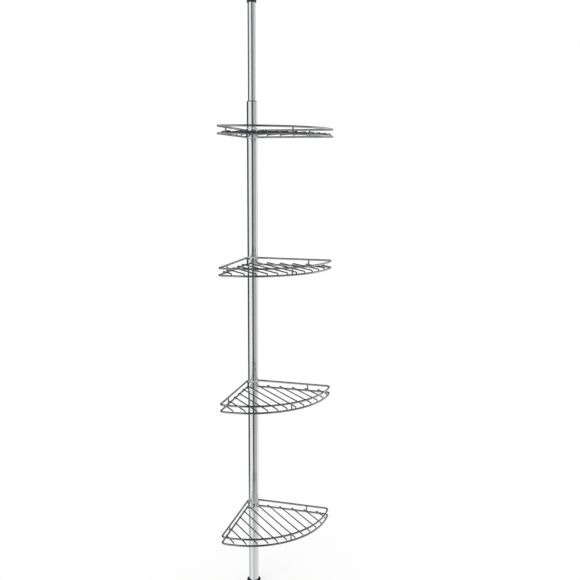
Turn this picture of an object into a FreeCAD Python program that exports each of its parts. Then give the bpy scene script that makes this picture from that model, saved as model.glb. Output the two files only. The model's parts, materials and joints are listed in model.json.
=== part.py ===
import FreeCAD, Part
import Sketcher
import math
import os
import re

# Corner tension pole with four wire baskets, in millimetres.
# The origin is the middle of the foot's underside. +Z is up and the baskets face -Y.

# ---------------------------------------------------------------- driving sizes

SIZES = {
    # pole
    "pole_height": 1524.0,        # floor to the top of the cap, pole pushed right in
    "mouth_height": 1273.0,       # top of the wide tube
    "seam_height": 640.0,         # joint between the two wide tubes
    "tube_radius": 12.7,
    "tube_wall": 1.0,
    "neck_length": 45.0,          # swaged end of the lower tube, inside the upper one
    "neck_taper": 1.5,
    "lip_clearance": 0.475,       # from the slim tube to the rolled lip
    "slim_radius": 9.525,         # sliding tube
    "slim_wall": 0.8,
    "fit_gap": 0.05,              # running fit, on the radius
    "part_gap": 0.3,              # between pieces that move past each other
    # rubber foot and cap
    "foot_radius": 24.0,
    "foot_wall": 5.6,             # round the tube, at the foot's top
    "foot_height": 28.0,
    "foot_edge": 4.0,             # straight edge round the base
    "foot_flare": 26.0,           # radius of the hollow flare
    "foot_floor": 6.0,            # rubber under the tube
    "cap_radius": 19.0,
    "cap_wall": 2.075,
    "cap_height": 26.5,
    "cap_edge": 4.0,
    "cap_flare": 24.0,
    "cap_floor": 6.0,
    "groove_inner": 8.0,          # grip groove in both rubber faces
    "groove_outer": 15.0,
    "groove_depth": 1.5,
    # bush, lock and spring
    "bush_length": 25.0,
    "lock_clearance": 9.0,        # from the neck's end to the lock
    "sleeve_length": 32.0,
    "sleeve_web": 6.0,
    "sleeve_wall": 1.3,           # at its thin, lower edge
    "sleeve_slope": 0.12,         # inside taper
    "sleeve_mouth": 20.0,         # length of that taper
    "slit_width": 1.8,
    "cone_length": 22.0,
    "cone_drop": 4.0,             # how far the cone hangs out of the sleeve
    "screw_radius": 4.0,
    "flange_radius": 6.5,
    "flange_height": 3.0,
    "hex_width": 6.0,             # across flats
    "head_clearance": 1.525,      # from the spindle's head to the slim tube's bore
    "head_height": 4.0,
    "give_down": 25.0,            # how far the ceiling can push the pole in
    "give_up": 15.0,
    "guide_flange": 5.0,
    "guide_length": 18.0,
    "spring_length": 120.0,
    "spring_pitch": 14.0,
    "spring_wire": 1.6,
    "spring_clearance": 1.225,    # from the spring to the slim tube's bore
    "stop_length": 18.0,
    "stop_bore": 3.0,
    # baskets
    "bottom_basket": 230.0,       # height of each basket's rim wire
    "lower_basket": 558.0,
    "upper_basket": 876.0,
    "top_basket": 1188.0,
    "front_radius": 197.0,        # middle of the rim wire, from the pole's axis
    "corner_radius": 9.5,
    "frame_wire": 2.25,           # radius of the rim and rail wire
    "rail_rise": 16.3,            # rail above rim
    "leg_tail": 6.0,              # wire past the weld at the collar
    "weld_sink": 0.15,            # how deep welded wires sink into each other
    "upright_wire": 1.75,
    "upright_setback": 57.0,      # side upright, from the front corner
    "butt_sink": 0.8,             # how deep a cut wire end melts into a round wire
    "floor_wire": 1.5,
    "floor_rise": 5.3,            # floor wires above the rim's middle
    "floor_run_in": 1.4,          # length of the bent-down end, along the wire
    "corner_margin": 22.0,        # last floor wire, from the corner
    "collar_wall": 0.7,           # at the collar's wide, lower edge
    "collar_taper": 0.4,          # on the radius
    "clip_wall": 1.3,             # at the clip's thick, lower edge
    "clip_stand": 3.0,            # clip above the collar
    "clip_skirt": 1.0,            # clip below the collar
    "clip_angle": 176.0,          # each half clip round the pole
}

# Sizes that follow from the ones above.
WORKED_OUT = {
    "bore_radius": "tube_radius - tube_wall",
    "neck_radius": "bore_radius - fit_gap",
    "neck_top": "seam_height + neck_length",
    "slim_bore": "slim_radius - slim_wall",
    "mouth_opening": "slim_radius + lip_clearance",
    "lip_radius": "tube_radius - mouth_opening",
    "lip_base": "mouth_height - lip_radius",
    "slim_top": "pole_height - cap_floor",
    "foot_neck_radius": "tube_radius + foot_wall",
    "cap_skirt_radius": "slim_radius + cap_wall",
    # lock, from the neck's end upward
    "sleeve_base": "neck_top + lock_clearance",
    "sleeve_top": "sleeve_base + sleeve_length",
    "sleeve_radius": "bore_radius - fit_gap",
    "cone_seat": "sleeve_radius - sleeve_wall",
    "cone_throat": "cone_seat - sleeve_slope * sleeve_mouth",
    "flange_base": "sleeve_top + fit_gap * 4",
    "flange_top": "flange_base + flange_height",
    "guide_base": "flange_top + give_down + part_gap * 3",
    "slim_base": "guide_base + guide_flange",
    "guide_top": "slim_base + guide_length",
    "head_base": "guide_top + give_up + part_gap * 3",
    "head_top": "head_base + head_height",
    "head_radius": "slim_bore - head_clearance",
    "spring_radius": "slim_bore - spring_clearance - spring_wire / 2",
    "stop_base": "head_top + spring_length",
    # baskets, from the rim's middle
    "collar_base": "0 - frame_wire",
    "collar_height": "rail_rise + 2 * frame_wire",
    "clip_radius_low": "tube_radius + fit_gap + clip_wall",
    "clip_radius_high": "clip_radius_low - collar_taper",
    "collar_bore_low": "clip_radius_low + fit_gap",
    "collar_bore_high": "clip_radius_high + fit_gap",
    "collar_radius": "collar_bore_low + collar_wall",
    "leg_offset": "collar_radius + frame_wire - weld_sink",
    "leg_length": "sqrt(front_radius ^ 2 - leg_offset ^ 2)",
    "corner_x": "(leg_offset + leg_length) * sqrt(0.5)",
    "floor_spacing": "(corner_x - corner_margin) / 5.5",
    "floor_tip": "frame_wire - butt_sink",
    "leg_crossing": "leg_offset * sqrt(2)",
}

BASKETS = ["bottom", "lower", "upper", "top"]
WIRES_PER_SIDE = 6
FRAME_SIDES = 12   # round wires are drawn with flats, which keeps the many of them light
FLOOR_SIDES = 8
LEG_HEADING = math.radians(135)  # right leg, from its corner back to the collar: a square corner
SLITS = 3

doc = FreeCAD.newDocument("tension_pole_shelf")
sheet = doc.addObject("Spreadsheet::Sheet", "Sizes")
for row, (name, number) in enumerate(SIZES.items(), start=1):
    sheet.set(f"A{row}", name)
    sheet.set(f"B{row}", str(number))
    sheet.setAlias(f"B{row}", name)
doc.recompute()

nodes = {}


# ---------------------------------------------------------------- helpers

def expand(text):
    """Write a formula in plain names as one that points at the sheet's cells."""
    def swap(match):
        name = match.group(0)
        if name in WORKED_OUT:
            return "(" + expand(WORKED_OUT[name]) + ")"
        if name in SIZES:
            return "Sizes." + name
        return name
    return re.sub(r"[a-z][a-z_]*", swap, text)


def value(text):
    """The number that a formula gives now."""
    return float(sheet.evalExpression(expand(text)))


def bind(thing, **formulas):
    """Tie properties to the sheet. Two underscores stand for a dot."""
    for name, text in formulas.items():
        thing.setExpression(name.replace("__", "."), expand(text))


def keep(thing, label):
    """Make an object one of the part's named pieces."""
    thing.Label = label
    nodes[label] = thing
    return thing


def plane(body, role):
    return next(f for f in body.Origin.OriginFeatures if f.Role == role)


def sketch_on(body, role, name):
    sketch = body.newObject("Sketcher::SketchObject", name)
    sketch.AttachmentSupport = (plane(body, role), [""])
    sketch.MapMode = "FlatFace"
    return sketch


def add_size(sketch, kind, references, formula):
    """Add a driving dimension to a sketch and tie it to the sheet."""
    index = sketch.addConstraint(Sketcher.Constraint(kind, *references, value(formula)))
    sketch.setExpression(f"Constraints[{index}]", expand(formula))


def place_point(sketch, geometry, end, across, up):
    """Fix a point of a sketch by its two distances from the origin."""
    for kind, formula, axis in (("DistanceX", across, -2), ("DistanceY", up, -1)):
        if formula == "0":
            sketch.addConstraint(Sketcher.Constraint("PointOnObject", geometry, end, axis))
        else:
            add_size(sketch, kind, (-1, 1, geometry, end), formula)


def arc_between(start, finish, radius, hollow):
    """An arc of a given radius between two points. A hollow arc bends toward the outline's inside."""
    chord = finish - start
    middle = (start + finish) * 0.5
    side = FreeCAD.Vector(-chord.y, chord.x, 0).normalize()
    rise = (radius ** 2 - (chord.Length / 2) ** 2) ** 0.5
    centre = middle + side * (-rise if hollow else rise)
    outward = (middle - centre).normalize()
    return Part.Arc(start, centre + outward * radius, finish)


def outline(sketch, corners):
    """Draw a closed outline. Each corner is (across, up), and a third entry makes the line
    that leaves it an arc of that radius: (across, up, radius formula, hollow or not)."""
    points = [FreeCAD.Vector(value(c[0]), value(c[1]), 0) for c in corners]
    ends = []
    for i, corner in enumerate(corners):
        start, finish = points[i], points[(i + 1) % len(points)]
        if len(corner) == 2:
            sketch.addGeometry(Part.LineSegment(start, finish))
            ends.append((1, 2))
            continue
        sketch.addGeometry(arc_between(start, finish, value(corner[2]), corner[3]))
        turned_round = sketch.getPoint(i, 1).distanceToPoint(start) > 1e-6
        ends.append((2, 1) if turned_round else (1, 2))
    for i in range(len(corners)):
        after = (i + 1) % len(corners)
        joint = (i, ends[i][1], after, ends[after][0])
        sketch.addConstraint(Sketcher.Constraint("Coincident", *joint))
    for i, corner in enumerate(corners):
        place_point(sketch, i, ends[i][0], corner[0], corner[1])
        if len(corner) > 2:
            add_size(sketch, "Radius", (i,), corner[2])


def turned(name, corners, height="0", angle=None):
    """A body turned about the pole's axis from an outline of (radius, height) corners."""
    body = doc.addObject("PartDesign::Body", name)
    sketch = sketch_on(body, "XZ_Plane", name + "_outline")
    outline(sketch, corners)
    turn = body.newObject("PartDesign::Revolution", name + "_turn")
    turn.Profile = sketch
    turn.ReferenceAxis = (sketch, ["V_Axis"])
    if angle:
        turn.Midplane = True
        bind(turn, Angle=angle)
    if height != "0":
        bind(body, Placement__Base__z=height)
    return body


def primitive(kind, name, height="0", **formulas):
    """A Part primitive on the pole's axis."""
    thing = doc.addObject(kind, name)
    bind(thing, **formulas)
    if height != "0":
        bind(thing, Placement__Base__z=height)
    return thing


def combine(kind, name, base, tool):
    """A Part boolean of two objects."""
    thing = doc.addObject(kind, name)
    thing.Base = base
    thing.Tool = tool
    return thing


def compound(name, members):
    group = doc.addObject("Part::Compound", name)
    group.Links = members
    return group


# ---------------------------------------------------------------- pole

def rubber_foot():
    """Flared foot: the tube stands in its socket, and a groove round the base grips the floor."""
    return turned("rubber_foot", [
        ("0", "0"),
        ("groove_inner", "0"),
        ("groove_inner", "groove_depth"),
        ("groove_outer", "groove_depth"),
        ("groove_outer", "0"),
        ("foot_radius", "0"),
        ("foot_radius", "foot_edge", "foot_flare", True),
        ("foot_neck_radius", "foot_height"),
        ("tube_radius + fit_gap", "foot_height"),
        ("tube_radius + fit_gap", "foot_floor"),
        ("0", "foot_floor"),
    ])


def top_cap():
    """Flared cap: a smaller copy of the foot, upside down, that presses on the ceiling."""
    return turned("top_cap", [
        ("0", "cap_height - cap_floor"),
        ("slim_radius + fit_gap", "cap_height - cap_floor"),
        ("slim_radius + fit_gap", "0"),
        ("cap_skirt_radius", "0", "cap_flare", True),
        ("cap_radius", "cap_height - cap_edge"),
        ("cap_radius", "cap_height"),
        ("groove_outer", "cap_height"),
        ("groove_outer", "cap_height - groove_depth"),
        ("groove_inner", "cap_height - groove_depth"),
        ("groove_inner", "cap_height"),
        ("0", "cap_height"),
    ], height="pole_height - cap_height")


def lower_tube():
    """Lower wide tube. Its swaged neck slides into the upper tube, which sits on the shoulder."""
    return turned("lower_tube", [
        ("bore_radius", "foot_floor"),
        ("tube_radius", "foot_floor"),
        ("tube_radius", "seam_height"),
        ("neck_radius", "seam_height"),
        ("neck_radius", "neck_top - neck_taper"),
        ("neck_radius - tube_wall / 2", "neck_top"),
        ("neck_radius - tube_wall", "neck_top"),
        ("neck_radius - tube_wall", "seam_height"),
        ("bore_radius", "seam_height - neck_taper"),
    ])


def upper_tube():
    """Upper wide tube, rolled in at the mouth so that the bush can't come out."""
    return turned("upper_tube", [
        ("bore_radius", "seam_height"),
        ("tube_radius", "seam_height"),
        ("tube_radius", "lip_base", "lip_radius", False),
        ("mouth_opening", "mouth_height"),
        ("mouth_opening", "mouth_height - tube_wall"),
        ("bore_radius", "lip_base"),
    ])


def mouth_bush():
    """Nylon bush under the rolled lip, which the slim tube runs in."""
    return turned("mouth_bush", [
        ("slim_radius + fit_gap", "lip_base - bush_length"),
        ("bore_radius - fit_gap", "lip_base - bush_length"),
        ("bore_radius - fit_gap", "lip_base - fit_gap"),
        ("mouth_opening", "mouth_height - tube_wall - fit_gap"),
        ("slim_radius + fit_gap", "mouth_height - tube_wall - fit_gap"),
    ])


def slim_tube():
    """Sliding tube, open at both ends."""
    return turned("slim_tube", [
        ("slim_bore", "slim_base"),
        ("slim_radius", "slim_base"),
        ("slim_radius", "slim_top"),
        ("slim_bore", "slim_top"),
    ])


# ---------------------------------------------------------------- lock and spring inside the pole

def lock_sleeve():
    """Split sleeve that the cone spreads against the wide tube's bore."""
    blank = turned("lock_sleeve_blank", [
        ("screw_radius + 2 * fit_gap", "sleeve_length - sleeve_web"),
        ("cone_throat", "sleeve_length - sleeve_web"),
        ("cone_throat", "sleeve_mouth"),
        ("cone_seat", "0"),
        ("sleeve_radius", "0"),
        ("sleeve_radius", "sleeve_length"),
        ("screw_radius + 2 * fit_gap", "sleeve_length"),
    ], height="sleeve_base")
    slits = []
    for i in range(SLITS):
        slit = primitive(
            "Part::Box", f"sleeve_slit_{i}", "sleeve_base",
            Length="tube_radius", Width="slit_width",
            Height="sleeve_length - sleeve_web",
        )
        turn_about_pole(slit, i * 360 / SLITS, "slit_width")
        slits.append(slit)
    return combine("Part::Cut", "lock_sleeve", blank, compound("sleeve_slits", slits))


def turn_about_pole(box, degrees, width):
    """Point a box outward from the axis, centred on its own width."""
    box.Placement.Rotation = FreeCAD.Rotation(FreeCAD.Vector(0, 0, 1), degrees)
    bind(
        box,
        Placement__Base__x=f"{width} / 2 * sin({degrees} deg)",
        Placement__Base__y=f"0 - {width} / 2 * cos({degrees} deg)",
    )


def lock_cone():
    """Threaded cone that climbs into the sleeve. Its keys ride in the slits, so it can't turn."""
    wide = "(cone_seat + sleeve_slope * cone_drop - fit_gap * 2)"
    cone = turned("lock_cone_blank", [
        ("screw_radius + fit_gap", "0"),
        (wide, "0"),
        (wide + " - sleeve_slope * cone_length", "cone_length"),
        ("screw_radius + fit_gap", "cone_length"),
    ], height="sleeve_base - cone_drop")
    keys = []
    for i in range(SLITS):
        key = primitive(
            "Part::Box", f"cone_key_{i}", "sleeve_base - cone_drop",
            Length="cone_seat", Width="slit_width - 4 * fit_gap", Height="cone_length - cone_drop",
        )
        turn_about_pole(key, i * 360 / SLITS, "(slit_width - 4 * fit_gap)")
        keys.append(key)
    hub = primitive(
        "Part::Cylinder", "cone_key_core", "sleeve_base - cone_drop",
        Radius="screw_radius + fit_gap * 10", Height="cone_length",
    )
    ribs = combine("Part::Cut", "cone_keys", compound("cone_key_blanks", keys), hub)
    return combine("Part::Fuse", "lock_cone", cone, ribs)


def lock_spindle():
    """Screw that drives the cone, with a hexagon above that slides in the guide's hexagon hole."""
    turned_part = turned("lock_spindle_blank", [
        ("0", "sleeve_base - cone_drop"),
        ("screw_radius", "sleeve_base - cone_drop"),
        ("screw_radius", "flange_base"),
        ("flange_radius", "flange_base"),
        ("flange_radius", "flange_top"),
        ("hex_width / 2 - fit_gap", "flange_top"),
        ("hex_width / 2 - fit_gap", "head_base"),
        ("head_radius", "head_base"),
        ("head_radius", "head_top"),
        ("0", "head_top"),
    ])
    hexagon = primitive(
        "Part::Prism", "spindle_hexagon", "flange_base + flange_height / 2",
        Circumradius="hex_width / sqrt(3)", Height="head_top - flange_base - flange_height",
    )
    return combine("Part::Fuse", "lock_spindle", turned_part, hexagon)


def end_guide():
    """Plug in the slim tube's lower end. Its flange runs in the wide tube's bore."""
    blank = turned("end_guide_blank", [
        ("0", "guide_base"),
        ("bore_radius - fit_gap", "guide_base"),
        ("bore_radius - fit_gap", "slim_base"),
        ("slim_bore - fit_gap", "slim_base"),
        ("slim_bore - fit_gap", "guide_top"),
        ("0", "guide_top"),
    ])
    hole = primitive(
        "Part::Prism", "guide_hexagon", "guide_base - part_gap",
        Circumradius="(hex_width + 2 * fit_gap) / sqrt(3)",
        Height="guide_top - guide_base + 2 * part_gap",
    )
    return combine("Part::Cut", "end_guide", blank, hole)


def tension_spring():
    """Square-wire compression spring between the spindle's head and the stop."""
    body = doc.addObject("PartDesign::Body", "tension_spring")
    sketch = sketch_on(body, "XZ_Plane", "spring_section")
    outline(sketch, [
        ("spring_radius - spring_wire / 2", "0"),
        ("spring_radius + spring_wire / 2", "0"),
        ("spring_radius + spring_wire / 2", "spring_wire"),
        ("spring_radius - spring_wire / 2", "spring_wire"),
    ])
    coil = body.newObject("PartDesign::AdditiveHelix", "spring_coil")
    coil.Profile = sketch
    coil.ReferenceAxis = (sketch, ["V_Axis"])
    coil.Mode = 0
    bind(coil, Pitch="spring_pitch", Height="spring_length - spring_wire - 2 * fit_gap")
    bind(body, Placement__Base__z="head_top + fit_gap")
    return body


def spring_stop():
    """Ring fixed in the slim tube, which the spring pushes up."""
    return turned("spring_stop", [
        ("stop_bore", "0"),
        ("slim_bore - fit_gap", "0"),
        ("slim_bore - fit_gap", "stop_length"),
        ("stop_bore", "stop_length"),
    ], height="stop_base")


# ---------------------------------------------------------------- baskets

def wire_section(sketch, sides, setback, radius):
    """A regular polygon whose flats touch the wire's own circle, in front of the axis."""
    middle = FreeCAD.Vector(-value(setback), 0, 0)
    around = f"{radius} / cos(180 deg / {sides})"
    corners = []
    for i in range(sides):
        angle = (2 * i + 1) * math.pi / sides
        spoke = FreeCAD.Vector(math.cos(angle), math.sin(angle), 0)
        corners.append(middle + spoke * value(around))
    for i in range(sides):
        sketch.addGeometry(Part.LineSegment(corners[i], corners[(i + 1) % sides]))
    sketch.addGeometry(Part.Circle(middle, FreeCAD.Vector(0, 0, 1), value(around)), True)
    for i in range(sides):
        sketch.addConstraint(Sketcher.Constraint("Coincident", i, 2, (i + 1) % sides, 1))
        sketch.addConstraint(Sketcher.Constraint("PointOnObject", i, 1, sides))
        if i:
            sketch.addConstraint(Sketcher.Constraint("Equal", 0, i))
    sketch.addConstraint(Sketcher.Constraint("Vertical", sides - 1))
    sketch.addConstraint(Sketcher.Constraint("PointOnObject", sides, 3, -1))
    add_size(sketch, "DistanceX", (sides, 3, -1, 1), setback)
    add_size(sketch, "Radius", (sides,), around)


def frame_hoop(name, height):
    """Round wire bent to a quarter disc: leg, corner and half the front arc, then mirrored."""
    body = doc.addObject("PartDesign::Body", name)
    path = sketch_on(body, "XY_Plane", name + "_path")
    root_half = value("sqrt(0.5)")
    radius, bend = value("front_radius"), value("corner_radius")
    offset, tail = value("leg_offset"), value("leg_tail")
    outward = FreeCAD.Vector(root_half, root_half, 0)
    along = FreeCAD.Vector(root_half, -root_half, 0)
    reach = ((radius - bend) ** 2 - (offset - bend) ** 2) ** 0.5
    centre = outward * (offset - bend) + along * reach
    arc_end = centre * (radius / centre.Length)
    leg_end = centre + outward * bend
    turning = (arc_end - centre).normalize() + outward
    front = FreeCAD.Vector(0, -radius, 0)
    halfway = (front + arc_end).normalize() * radius
    path.addGeometry(Part.Arc(front, halfway, arc_end))
    path.addGeometry(Part.Arc(arc_end, centre + turning.normalize() * bend, leg_end))
    path.addGeometry(Part.LineSegment(leg_end, outward * offset - along * tail))
    path.addConstraint(Sketcher.Constraint("Coincident", 0, 3, -1, 1))
    path.addConstraint(Sketcher.Constraint("PointOnObject", 0, 1, -2))
    path.addConstraint(Sketcher.Constraint("Tangent", 0, 2, 1, 1))
    path.addConstraint(Sketcher.Constraint("Tangent", 1, 2, 2, 1))
    add_size(path, "Radius", (0,), "front_radius")
    add_size(path, "Radius", (1,), "corner_radius")
    place_point(path, 2, 2, "(leg_offset - leg_tail) * sqrt(0.5)", "(leg_offset + leg_tail) * sqrt(0.5)")
    path.addConstraint(Sketcher.Constraint("Angle", 2, LEG_HEADING))
    section = sketch_on(body, "YZ_Plane", name + "_section")
    wire_section(section, FRAME_SIDES, "front_radius", "frame_wire")
    pipe = body.newObject("PartDesign::AdditivePipe", name + "_half")
    pipe.Profile = section
    pipe.Spine = (path, [""])
    mirror = body.newObject("PartDesign::Mirrored", name + "_whole")
    mirror.Originals = [pipe]
    mirror.MirrorPlane = (plane(body, "YZ_Plane"), [""])
    body.Tip = mirror
    bind(body, Placement__Base__z=height)
    return body


def floor_wire(number):
    """One floor wire, right of the middle: straight along Y, both ends bent down to the rim."""
    across = f"(({number} + 0.5) * floor_spacing)"
    path = doc.addObject("Sketcher::SketchObject", f"floor_path_{number}")
    path.Placement.Rotation = FreeCAD.Rotation(
        FreeCAD.Vector(0, 1, 0), FreeCAD.Vector(0, 0, 1), FreeCAD.Vector(1, 0, 0), "ZXY"
    )
    bind(path, Placement__Base__x=across)
    front = f"(0 - sqrt(front_radius ^ 2 - {across} ^ 2))"
    back = f"(leg_crossing - {across})"
    route = [
        (front, "floor_tip"),
        (front + " + floor_run_in", "floor_rise"),
        (back + " - floor_run_in", "floor_rise"),
        (back, "floor_tip"),
    ]
    if number == 0:
        route[2:] = [("0 - floor_wire", "floor_rise")]
    points = [FreeCAD.Vector(value(y), value(z), 0) for y, z in route]
    for i in range(len(points) - 1):
        path.addGeometry(Part.LineSegment(points[i], points[i + 1]))
    for i in range(len(points) - 2):
        path.addConstraint(Sketcher.Constraint("Coincident", i, 2, i + 1, 1))
    for i, (along, up) in enumerate(route[:-1]):
        place_point(path, i, 1, along, up)
    place_point(path, len(route) - 2, 2, *route[-1])
    return path, across, front, route


def build_floor():
    """The right-hand floor wires, and their mirror image for the left."""
    wires = []
    for number in range(WIRES_PER_SIDE):
        path, across, front, route = floor_wire(number)
        section = primitive(
            "Part::RegularPolygon", f"floor_section_{number}",
            Circumradius=f"floor_wire / cos(180 deg / {FLOOR_SIDES})",
        )
        section.Polygon = FLOOR_SIDES
        section.Placement.Rotation = FreeCAD.Rotation(FreeCAD.Vector(-1, 0, 0), 20)
        bind(
            section,
            Placement__Base__x=across,
            Placement__Base__y=front,
            Placement__Base__z="floor_tip",
            Placement__Rotation__Angle="atan(floor_run_in / (floor_rise - floor_tip))",
        )
        sweep = doc.addObject("Part::Sweep", f"floor_wire_{number}")
        sweep.Sections = [section]
        sweep.Spine = (path, [f"Edge{i + 1}" for i in range(len(route) - 1)])
        sweep.Solid = True
        sweep.Frenet = False
        sweep.Transition = "Right corner"
        wires.append(sweep)
    core = primitive(
        "Part::Cylinder", "collar_core", "collar_base",
        Radius="collar_radius - weld_sink", Height="collar_height",
    )
    wires[0] = combine("Part::Cut", "coped_floor_wire", wires[0], core)
    right = compound("right_floor_wires", wires)
    left = doc.addObject("Part::Mirroring", "left_floor_wires")
    left.Source = right
    left.Normal = FreeCAD.Vector(1, 0, 0)
    return [right, left]


def build_uprights():
    """Three short posts between rim and rail: one in front and one on each leg."""
    along = "(leg_length - upright_setback)"
    side_x = f"(leg_offset + {along}) * sqrt(0.5)"
    side_y = f"(leg_offset - {along}) * sqrt(0.5)"
    places = [("0", "0 - front_radius"), (side_x, side_y), (f"0 - ({side_x})", side_y)]
    posts = []
    for i, (across, along_y) in enumerate(places):
        post = primitive(
            "Part::Cylinder", f"upright_{i}", "frame_wire - butt_sink",
            Radius="upright_wire", Height="rail_rise - 2 * frame_wire + 2 * butt_sink",
        )
        bind(post, Placement__Base__x=across, Placement__Base__y=along_y)
        posts.append(post)
    return posts


def collar(name, height):
    """Steel collar, tapered inside, that wedges down over the two half clips."""
    return turned(name, [
        ("collar_bore_low", "0"),
        ("collar_radius", "0"),
        ("collar_radius", "collar_height"),
        ("collar_bore_high", "collar_height"),
    ], height=f"{height} + collar_base")


def half_clip(name, height, degrees):
    """Half of the tapered plastic clip that grips the pole."""
    slope = "(collar_taper / collar_height)"
    body = turned(name, [
        ("tube_radius + fit_gap", "0"),
        (f"clip_radius_low + {slope} * clip_skirt", "0"),
        (f"clip_radius_high - {slope} * clip_stand", "clip_skirt + collar_height + clip_stand"),
        ("tube_radius + fit_gap", "clip_skirt + collar_height + clip_stand"),
    ], height=f"{height} + collar_base - clip_skirt", angle="clip_angle")
    body.Placement.Rotation = FreeCAD.Rotation(FreeCAD.Vector(0, 0, 1), degrees)
    return body


def build_basket(name, floor, uprights):
    """One basket: two hoops, uprights, floor wires and collar, held by two half clips."""
    height = name + "_basket"
    keep(frame_hoop(name + "_rim", height), name + "_rim")
    keep(frame_hoop(name + "_rail", f"{height} + rail_rise"), name + "_rail")
    keep(collar(name + "_collar", height), name + "_collar")
    keep(half_clip(name + "_clip_right", height, 0), name + "_clip_right")
    keep(half_clip(name + "_clip_left", height, 180), name + "_clip_left")
    for suffix, members in (("_floor_wires", floor), ("_uprights", uprights)):
        group = keep(compound(name + suffix, members), name + suffix)
        bind(group, Placement__Base__z=height)


# ---------------------------------------------------------------- build, check and write

for make in (rubber_foot, top_cap, lower_tube, upper_tube, mouth_bush, slim_tube, lock_sleeve,
             lock_cone, lock_spindle, end_guide, tension_spring, spring_stop):
    keep(make(), make.__name__)

shared_floor = build_floor()
shared_uprights = build_uprights()
for basket in BASKETS:
    build_basket(basket, shared_floor, shared_uprights)

doc.recompute()

for thing in doc.Objects:
    if "Invalid" in thing.State or "Error" in thing.State:
        raise RuntimeError(f"{thing.Label} did not build: {thing.State}")

os.makedirs("parts", exist_ok=True)
for label, thing in nodes.items():
    shape = thing.Shape
    if shape.isNull() or not shape.isValid() or not shape.Solids:
        raise RuntimeError(f"{label} is not a valid solid")
    shape.exportStep(f"parts/{label}.step")
    print(label, len(shape.Solids), "solid(s)", round(shape.Volume), "mm3")
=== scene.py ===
# %% [markdown]
# # Corner pole with four wire baskets
#
# A shower pole of bright plated tube stands between floor and ceiling and carries
# four quarter-round baskets of welded wire. This notebook dresses its CAD model:
# the tubes and clips keep their CAD meshes and get finishes, and the welded wires
# and rubber ends are modelled again with the bends, weld necks and soft edges
# that a quick CAD solid leaves out.

import json
import math

import bpy
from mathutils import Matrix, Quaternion, Vector


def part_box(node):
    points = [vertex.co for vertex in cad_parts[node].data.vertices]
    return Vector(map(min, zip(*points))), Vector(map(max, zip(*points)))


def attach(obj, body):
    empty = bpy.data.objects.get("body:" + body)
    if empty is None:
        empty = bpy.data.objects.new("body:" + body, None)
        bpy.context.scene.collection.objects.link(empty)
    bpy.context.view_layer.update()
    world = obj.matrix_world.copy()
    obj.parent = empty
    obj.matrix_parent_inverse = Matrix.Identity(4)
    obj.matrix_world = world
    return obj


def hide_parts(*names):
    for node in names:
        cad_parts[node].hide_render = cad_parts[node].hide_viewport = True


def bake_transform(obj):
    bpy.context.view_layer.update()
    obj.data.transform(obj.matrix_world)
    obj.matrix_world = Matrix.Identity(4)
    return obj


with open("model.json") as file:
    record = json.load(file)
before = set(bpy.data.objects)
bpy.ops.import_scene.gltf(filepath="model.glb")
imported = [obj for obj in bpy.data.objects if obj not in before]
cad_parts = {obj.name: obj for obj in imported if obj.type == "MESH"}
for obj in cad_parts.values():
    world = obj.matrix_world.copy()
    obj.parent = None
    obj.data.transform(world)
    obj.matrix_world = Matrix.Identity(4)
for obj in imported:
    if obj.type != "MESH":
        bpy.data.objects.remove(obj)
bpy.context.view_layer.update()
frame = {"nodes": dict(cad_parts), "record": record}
scene = bpy.context.scene
scene.view_settings.view_transform = "Standard"
MM = 0.001

# %% [markdown]
# ## Camera
#
# The camera stands to the left of the baskets, a hand's breadth below the top one,
# so that one shows its underside and the others are seen from above, the lowest
# the most. A 45 mm lens on a 36 mm sensor takes in nearly the whole pole and cuts off
# the very ends of foot and cap. A trace of roll stands the pole upright in the frame.

# %% Camera
CAMERA_AZIMUTH = math.radians(-26.99)   # from straight in front, round the pole
CAMERA_DISTANCE = 1.8
CAMERA_HEIGHT = 1.1137
CAMERA_ROLL = math.radians(0.25)
AIM = Vector((0.0808, -0.0466, 0.8130))
LENS_MM = 45.15
SENSOR_MM = 36
NEAREST = 0.05                          # what is closer to the camera isn't drawn

camera = bpy.data.objects.new("camera", bpy.data.cameras.new("camera"))
camera.data.sensor_width = SENSOR_MM
camera.data.lens = LENS_MM
camera.data.clip_start = NEAREST
camera.location = (
    CAMERA_DISTANCE * math.sin(CAMERA_AZIMUTH),
    -CAMERA_DISTANCE * math.cos(CAMERA_AZIMUTH),
    CAMERA_HEIGHT,
)
level_look = (AIM - camera.location).to_track_quat("-Z", "Y")
camera.rotation_euler = (level_look @ Quaternion((0, 0, 1), CAMERA_ROLL)).to_euler()
scene.collection.objects.link(camera)
scene.camera = camera
print("camera at", [round(x, 3) for x in camera.location])

# %% [markdown]
# ## Node helpers
#
# The node trees below are written with a few helpers. `add` makes a node and sets its
# inputs and properties, `join` draws one link between two nodes, and `ramp_stops` fills
# a colour ramp. A Mix node has a set of sockets for each type of data, and all the sets
# have the same names, so these sockets go by number.

# %% Node helpers
FACTOR = 0
COLOUR_A, COLOUR_B, COLOUR_RESULT = 6, 7, 2
FLOAT_A, FLOAT_B, FLOAT_RESULT = 2, 3, 0


def add(tree, kind, inputs=None, **settings):
    node = tree.nodes.new(kind)
    for name, setting in settings.items():
        setattr(node, name, setting)
    for name, number in (inputs or {}).items():
        node.inputs[name].default_value = number
    return node


def join(tree, source, output, target, entry):
    tree.links.new(source.outputs[output], target.inputs[entry])


def ramp_stops(node, stops):
    """Give a colour ramp its (place, grey) stops, the first at 0 and the last at 1."""
    elements = node.color_ramp.elements
    for place, _ in stops[1:-1]:
        elements.new(place)
    for element, (_, grey) in zip(elements, stops):
        element.color = (grey, grey, grey, 1)


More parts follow.
